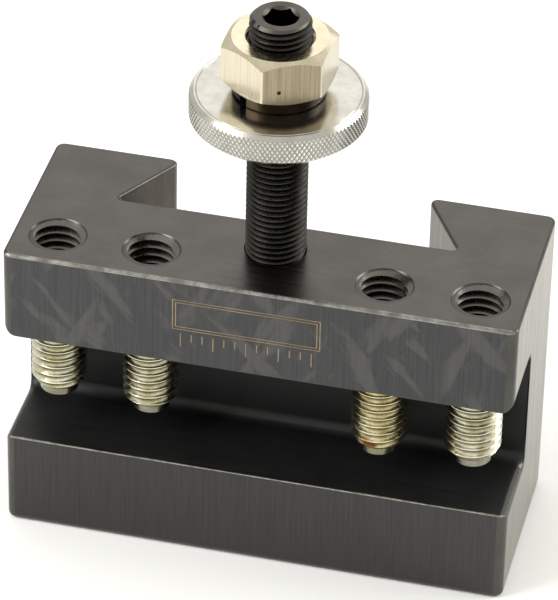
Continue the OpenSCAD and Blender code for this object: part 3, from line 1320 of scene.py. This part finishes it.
@dataclass
class HeightStud:
    """The fine-threaded stud that carries the height nuts."""

    node: str = "height_stud"
    pitch: float = 1.25 * MM
    thread_depth: float = 0.72 * MM
    end_chamfer: float = 0.75 * MM
    socket_key: float = 6 * MM
    socket_depth: float = 8 * MM
    socket_bevel: float = 0.15 * MM
    socket_turn: float = math.radians(13)
    handled_depth: float = 0.35 * MM
    piece: Optional[bpy.types.Object] = None

    def thread(self) -> Thread:
        """Returns the stud's thread, sized from the CAD node."""
        low, high = box(self.node)
        return Thread((high.x - low.x) / 2 - STUD_GAP, self.pitch, self.thread_depth)

    def build(self) -> None:
        """Cuts the stud from a threaded rod and a turned envelope."""
        low, high = box(self.node)
        centre = axis_of(self.node)
        thread = self.thread()
        length = high.z - low.z
        self.piece = thread.rod("height_stud_piece", centre, low.z, high.z)
        outside = thread.crest + SPARE
        tip = thread.crest - self.end_chamfer
        envelope = revolve("envelope", [
            (0, 0), (tip, 0), (outside, outside - tip), (outside, length - (outside - tip)),
            (tip, length), (0, length)], centre, steps=64, base=low.z)
        solve(self.piece, envelope, Solve.KEEP)
        corner = hexagon_corner(self.socket_key)
        socket = add_prism("socket", centre, corner, high.z - self.socket_depth,
                           high.z + SPARE, sides=6, turn=self.socket_turn)
        solve(self.piece, socket, Solve.CUT)
        mouth = corner + self.socket_bevel
        bevel = revolve("bevel", [(0, SPARE), (mouth + SPARE, SPARE), (mouth - SPARE, -SPARE),
                                  (0, -SPARE)], centre, steps=64, base=high.z)
        solve(self.piece, bevel, Solve.CUT)
        weld(self.piece)
        mark_depth(self.piece, centre, thread.root, thread.crest)

    def dress(self) -> None:
        """Blackens the stud, paler on its handled end."""
        top = box(self.node)[1].z
        # Blackened fine thread: its crests catch the light, and its grooves are painted nearly
        # black as painted shade.
        dark = PlateFinish("black_oxide_fine_thread", colour="45443f", cloudy="383734",
                           roughness=0.27, grain=Grain.NONE, line_depth=0.2,
                           groove_shade_colour="0e0e0d", groove=0.9)
        # The end that the key is pushed into: bruised, so paler and duller than the thread.
        end = OxideFinish("black_oxide_handled_end", "5e5b55", "4b4944", 0.42, Grain.NONE,
                          line_depth=0.6)
        coat(self.piece, [dark.material(), end.material()], degrees=38,
             choose=lambda p, n: int(p.z > top - self.handled_depth and n.z > 0.4))
        finish_piece(self.piece, "holder", self.node)


@dataclass
class KnurledNut:
    """The round thumb nut with a diamond knurl on its rim."""

    node: str = "knurled_nut"
    diamonds: int = 116
    rows: int = 5
    knurl_depth: float = 0.34 * MM
    tip_flat: float = 0.12 * MM
    bevel: float = 1.0 * MM
    bevel_edge: float = 0.12 * MM
    ring_inset: float = 0.3 * MM
    ring_width: float = 0.3 * MM
    ring_depth: float = 0.13 * MM
    bore_chamfer: float = 0.5 * MM
    piece: Optional[bpy.types.Object] = None

    def build(self, bore: float) -> None:
        """Raises the knurl on a blank, then turns its bevels and a fine ring, and bores it.

        Args:
            bore: Radius of the hole for the stud.
        """
        low, high = box(self.node)
        centre = axis_of(self.node)
        outer = (high.x - low.x) / 2
        spare = SPARE / 2
        blank = add_prism("knurled_nut_piece", centre, outer - self.knurl_depth,
                          low.z - spare, high.z + spare, sides=self.diamonds * 2)
        self.raise_knurl(blank, centre, outer)
        height = high.z - low.z
        flat = outer - self.bevel
        ring = flat - self.ring_inset
        envelope = revolve("envelope", [
            (0, 0), (flat, 0), (outer + spare, self.bevel + spare),
            (outer + spare, height - self.bevel - spare),
            (flat + self.bevel_edge, height - self.bevel_edge), (flat, height),
            (ring, height), (ring - self.ring_width / 2, height - self.ring_depth),
            (ring - self.ring_width, height), (0, height)], centre, steps=192,
            base=low.z)
        solve(blank, envelope, Solve.KEEP)
        chamfer = self.bore_chamfer
        hole = revolve("hole", [
            (0, -chamfer), (bore + 2 * chamfer, -chamfer), (bore, chamfer),
            (bore, height - chamfer), (bore + 2 * chamfer, height + chamfer),
            (0, height + chamfer)], centre, steps=96, base=low.z)
        solve(blank, hole, Solve.CUT)
        weld(blank)
        mark_depth(blank, centre, outer - self.knurl_depth, outer)
        self.piece = blank

    def raise_knurl(self, blank: bpy.types.Object, centre: Vector, outer: float) -> None:
        """Lifts every second point of the rim's grid, so that crossed grooves stay between.

        Args:
            blank: The plain disc.
            centre: A point on its axis.
            outer: Radius of the diamonds' tips.
        """
        select_only(blank)
        bpy.ops.object.mode_set(mode="EDIT")
        pick(blank, "edges", lambda p, d: upright(d))
        bpy.ops.mesh.subdivide(number_cuts=self.rows * 2 - 1)
        heights = [vertex.co.z for vertex in bmesh.from_edit_mesh(blank.data).verts]
        low_z, high_z = min(heights), max(heights)
        step_z = (high_z - low_z) / (self.rows * 2)
        step_a = math.pi / self.diamonds

        def is_tip(place: Vector, facing: Vector) -> bool:
            """Tells whether a point of the grid is a diamond's tip.

            Args:
                place: The point.
                facing: Its normal, which makes no difference.

            Returns:
                True for every second point, away from both faces.
            """
            row = round((place.z - low_z) / step_z)
            column = round(math.atan2(place.y - centre.y, place.x - centre.x) / step_a)
            return (row + column) % 2 == 1 and 0 < row < self.rows * 2

        pick(blank, "verts", is_tip)
        scale = outer / (outer - self.knurl_depth)
        bpy.ops.transform.resize(value=(scale, scale, 1),
                                 center_override=(centre.x, centre.y, 0))
        pick(blank, "faces", lambda p, n: not upright(n))
        bpy.ops.mesh.quads_convert_to_tris(quad_method="SHORTEST_DIAGONAL")
        pick(blank, "verts", is_tip)
        bpy.ops.mesh.bevel(offset=self.tip_flat, affect="VERTICES", clamp_overlap=True)
        bpy.ops.object.mode_set(mode="OBJECT")

    def dress(self) -> None:
        """Plates the nut: a knurl with painted shade in its grooves, between bright turned faces
        and bevels.
        """
        # Rolled knurl: each diamond is a bright point, with painted shade in the grooves round
        # it.
        knurl = PlateFinish("nickel_plate_knurled", "e8e7e2", "dbd9d2", 0.22, Grain.NONE,
                            line_depth=0.15, groove_shade_colour="6a6759", groove=0.55)
        # Faced on a lathe and plated bright, so it mirrors the washer and the nut.
        face = PlateFinish("nickel_plate_turned_face", "cbc9c1", "bebbb1", 0.19, Grain.NONE,
                           line_mm=0.3, line_depth=0.12)
        coat(self.piece, [knurl.material(), face.material()], degrees=25,
             choose=lambda p, n: int(abs(n.z) > 0.6))
        finish_piece(self.piece, "knurled_nut", self.node)


@dataclass
class LockWasher:
    """The split spring washer between the two nuts."""

    node: str = "lock_washer"
    gap_angle: float = math.radians(-126)
    gap: float = 1.6 * MM
    bore_clearance: float = 0.35 * MM
    spring: float = 0.5 * MM
    section_round: float = 0.3 * MM
    steps: int = 72
    piece: Optional[bpy.types.Object] = None

    def build(self, stud_radius: float) -> None:
        """Sweeps a rounded square section round the stud, rising a little to its end.

        Args:
            stud_radius: Radius of the height stud.
        """
        low, high = box(self.node)
        centre = axis_of(self.node)
        outer = (high.x - low.x) / 2
        inner = stud_radius + self.bore_clearance
        middle = (outer + inner) / 2
        half_gap = self.gap / 2 / middle
        thickness = high.z - low.z - self.spring
        deselect_all()
        bpy.ops.mesh.primitive_plane_add(
            size=1, location=(middle, 0, thickness / 2), rotation=(math.pi / 2, 0, 0))
        self.piece = bpy.context.object
        self.piece.name = "lock_washer_piece"
        self.piece.scale = (outer - inner, thickness, 1)
        settle(self.piece)
        bpy.ops.object.mode_set(mode="EDIT")
        bpy.ops.mesh.select_mode(type="VERT")
        bpy.ops.mesh.select_all(action="SELECT")
        bpy.ops.mesh.bevel(offset=self.section_round, segments=3, affect="VERTICES")
        turn = (2 * math.pi - 2 * half_gap) / self.steps
        for _ in range(self.steps):
            bpy.ops.mesh.extrude_region_move(
                TRANSFORM_OT_translate={"value": (0, 0, self.spring / self.steps)})
            bpy.ops.transform.rotate(value=-turn, orient_axis="Z", center_override=(0, 0, 0))
        bpy.ops.object.mode_set(mode="OBJECT")
        weld(self.piece)
        self.piece.rotation_euler = (0, 0, self.gap_angle + half_gap)
        self.piece.location = (centre.x, centre.y, low.z)
        settle(self.piece)

    def dress(self) -> None:
        """Gives the washer its dark spring temper."""
        # Oil-tempered spring steel: nearly black, with a brown cast and a soft gleam.
        finish = OxideFinish("spring_steel_tempered", "322a20", "1f1a16", 0.27, Grain.NONE,
                             line_mm=0.6, line_depth=0.3)
        coat(self.piece, [finish.material()], degrees=30)
        finish_piece(self.piece, "lock_washer", self.node)


class NutFace(IntEnum):
    """The lock nut's groups of faces, numbered in the order of its materials."""

    FLAT = 0
    TURNED = 1
    TARNISHED = 2
    PIT = 3


@dataclass
class HexLockNut:
    """The hexagon nut that locks the height setting."""

    node: str = "hex_lock_nut"
    width: float = 20 * MM
    turn: float = math.radians(26)
    top_crown: float = 9.25 * MM
    bottom_crown: float = 9.95 * MM
    crown_slope: float = math.tan(math.radians(30))
    countersink_radius: float = 6.7 * MM
    corner_round: float = 0.25 * MM
    pit_radius: float = 0.4 * MM
    pit_along: float = -2.4 * MM
    pit_height: float = 2.9 * MM
    piece: Optional[bpy.types.Object] = None
    pit_place: Vector = field(init=False)
    pitted_flat: Vector = field(init=False)

    def build(self, bore: float) -> None:
        """Turns the crowns on a hexagon bar, then bores and countersinks it.

        Args:
            bore: Radius of the hole for the stud.
        """
        low, high = box(self.node)
        centre = axis_of(self.node)
        corner = hexagon_corner(self.width)
        height = high.z - low.z
        piece = add_prism("hex_lock_nut_piece", centre, corner, low.z, high.z, sides=6,
                          turn=self.turn)
        bevel_edges(piece, lambda p, d: upright(d), self.corner_round, segments=3)
        reach = corner + SPARE / 2
        under = (reach - self.bottom_crown) * self.crown_slope
        over = (reach - self.top_crown) * self.crown_slope
        envelope = revolve("envelope", [
            (0, 0), (self.bottom_crown, 0), (reach, under), (reach, height - over),
            (self.top_crown, height), (0, height)], centre, steps=128, base=low.z)
        solve(piece, envelope, Solve.KEEP)
        sink = self.countersink_radius - bore
        hole = revolve("hole", [
            (0, -sink), (bore + 2 * sink, -sink), (bore, sink), (bore, height - sink),
            (bore + 2 * sink, height + sink), (0, height + sink)], centre, steps=96,
            base=low.z)
        solve(piece, hole, Solve.CUT)
        solve(piece, self.pit(centre, low.z), Solve.CUT)
        weld(piece)
        self.piece = piece

    def pit(self, centre: Vector, base: float) -> bpy.types.Object:
        """Makes the ball that leaves a small dent in one flat.

        Args:
            centre: A point on the nut's axis.
            base: Height of the nut's lower face.

        Returns:
            The ball.
        """
        facing = self.turn - math.pi / 2
        out = Vector((math.cos(facing), math.sin(facing), 0))
        along = Vector((-math.sin(facing), math.cos(facing), 0))
        self.pitted_flat = out
        place = centre + out * self.width / 2 + along * self.pit_along
        place.z = base + self.pit_height
        self.pit_place = place
        deselect_all()
        bpy.ops.mesh.primitive_ico_sphere_add(subdivisions=3, radius=self.pit_radius,
                                              location=place)
        ball = bpy.context.object
        settle(ball)
        return ball

    def dress(self) -> None:
        """Plates the nut in warm nickel with drawing lines down its flats."""
        finishes = {
            # Drawn bar: the die's lines run up the flats, under a warm nickel.
            NutFace.FLAT: PlateFinish(
                "nickel_plate_drawn_bar", "d0c8b4", "beb5a0", 0.22, Grain.UPRIGHT,
                line_mm=0.4, line_depth=0.3, streaks=True),
            # Faced and crowned on a lathe: brighter and smoother than the flats.
            NutFace.TURNED: PlateFinish(
                "nickel_plate_faced_crown", "e4d9bf", "d8ccb0", 0.19, Grain.NONE,
                line_mm=0.4, line_depth=0.15),
            # One flat is painted darker and browner than the rest, as painted shade.
            NutFace.TARNISHED: PlateFinish(
                "nickel_plate_tarnished_flat", "a0947c", "8e826c", 0.27, Grain.UPRIGHT,
                line_mm=0.4, line_depth=0.2, streaks=True),
            # The pit has rusted through the plate.
            NutFace.PIT: OxideFinish(
                "rusted_pit", "3c2c1c", "2a1e14", 0.7, Grain.NONE, metal=0.3),
        }
        coat(self.piece, [finishes[kind].material() for kind in NutFace], degrees=28,
             choose=self.face_of)
        finish_piece(self.piece, "hex_lock_nut", self.node)

    def face_of(self, place: Vector, facing: Vector) -> NutFace:
        """Chooses a face's finish from where it lies and which way it faces.

        Args:
            place: The face's centre.
            facing: The face's normal.

        Returns:
            The group that the face belongs to.
        """
        from_pit = (place - self.pit_place).length / self.pit_radius
        if abs(facing.z) > 0.3 and from_pit > 2:
            return NutFace.TURNED
        sunk = (self.pit_place - place).dot(self.pitted_flat) > 0.005 * MM
        if sunk and from_pit < 1.1:
            return NutFace.PIT
        # The flat with the pit gets the darker, browner material: painted shade.
        on_pitted_flat = facing.dot(self.pitted_flat) > 0.99
        return NutFace.TARNISHED if on_pitted_flat else NutFace.FLAT


# ---------------------------------------------------------------- studio


@dataclass(frozen=True)
class Softbox:
    """A square area light: its place and size in metres, and its power in watts."""

    name: str
    place: tuple[float, float, float]
    size: float
    power: float

    def build(self, aim: Vector) -> None:
        """Adds the light.

        Args:
            aim: The point that it faces.
        """
        deselect_all()
        place = Vector(self.place)
        turn = (aim - place).to_track_quat("-Z", "Y").to_euler()
        bpy.ops.object.light_add(type="AREA", location=place, rotation=turn)
        light = bpy.context.object
        light.name = self.name
        light.data.size = self.size
        light.data.energy = self.power


@dataclass
class Studio:
    """Pale floor, soft lights and the camera."""

    azimuth: float = math.radians(12.715)
    elevation: float = math.radians(35.759)
    roll: float = math.radians(1.351)
    distance: float = 870.1 * MM
    target: tuple[float, float, float] = (-0.16 * MM, 0.0, 49.5 * MM)
    focal_px: float = 4424.2
    aim: tuple[float, float, float] = (0.0, 0.0, 50 * MM)
    near_clip: float = 10 * MM
    floor_size: float = 8.0
    floor_colour: str = "fafaf8"
    sky_colour: str = "fbf9f4"
    sky_strength: float = 0.8
    softboxes: tuple[Softbox, ...] = (
        Softbox("back_softbox", (0.0, 0.9, 0.75), 1.1, 2.6),
        Softbox("right_softbox", (0.95, 0.4, 0.45), 0.7, 8.0),
        Softbox("left_softbox", (-0.34, -0.24, 0.34), 0.26, 2.0))

    def build(self) -> None:
        """Adds the floor, the lights, the sky and the camera."""
        self.add_floor()
        self.add_sky()
        for softbox in self.softboxes:
            softbox.build(Vector(self.aim))
        self.add_camera()

    def add_floor(self) -> None:
        """Adds the pale floor that the holder stands on."""
        deselect_all()
        bpy.ops.mesh.primitive_plane_add(size=self.floor_size, location=(0, 0, 0))
        floor = bpy.context.object
        floor.name = "floor"
        material, tree = new_material("matt_white_paper")
        shader = add_node(tree, "ShaderNodeBsdfPrincipled",
                          {"Base Color": linear(self.floor_colour), "Roughness": 0.9})
        add_node(tree, "ShaderNodeOutputMaterial", {0: shader.outputs[0]})
        floor.data.materials.append(material)

    def add_sky(self) -> None:
        """Sets the even pale light from all round."""
        world = bpy.data.worlds.new("studio")
        bpy.context.scene.world = world
        world.use_nodes = True
        world.node_tree.nodes.clear()
        shader = add_node(world.node_tree, "ShaderNodeBackground",
                          {"Color": linear(self.sky_colour), "Strength": self.sky_strength})
        add_node(world.node_tree, "ShaderNodeOutputWorld", {0: shader.outputs[0]})

    def add_camera(self) -> None:
        """Places the camera at its azimuth and elevation, with its small roll."""
        back = Vector((math.sin(self.azimuth) * math.cos(self.elevation),
                       -math.cos(self.azimuth) * math.cos(self.elevation),
                       math.sin(self.elevation)))
        deselect_all()
        bpy.ops.object.camera_add(location=Vector(self.target) + back * self.distance)
        camera = bpy.context.object
        camera.name = "camera"
        turn = (-back).to_track_quat("-Z", "Y")
        camera.rotation_euler = (turn @ Quaternion((0, 0, 1), self.roll)).to_euler()
        camera.data.sensor_width = SENSOR_MM
        camera.data.lens = self.focal_px * SENSOR_MM / IMAGE_HEIGHT_PX
        camera.data.clip_start = self.near_clip
        bpy.context.scene.camera = camera
        bpy.context.scene.view_settings.view_transform = "Standard"


def main() -> None:
    """Builds the scene piece by piece."""
    logging.basicConfig(level=logging.INFO, format="%(message)s")
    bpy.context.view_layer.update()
    screws = ClampScrews()
    stud = HeightStud()
    body = HolderBody()
    knurled = KnurledNut()
    washer = LockWasher()
    lock_nut = HexLockNut()
    stud_radius = stud.thread().crest + STUD_GAP
    bore = stud_radius + BORE_GAP
    screws.build()
    screws.dress()
    stud.build()
    stud.dress()
    body.build(screws, stud_radius)
    body.dress()
    knurled.build(bore)
    knurled.dress()
    washer.build(stud_radius)
    washer.dress()
    lock_nut.build(bore)
    lock_nut.dress()
    Studio().build()


if __name__ == "__main__":
    main()
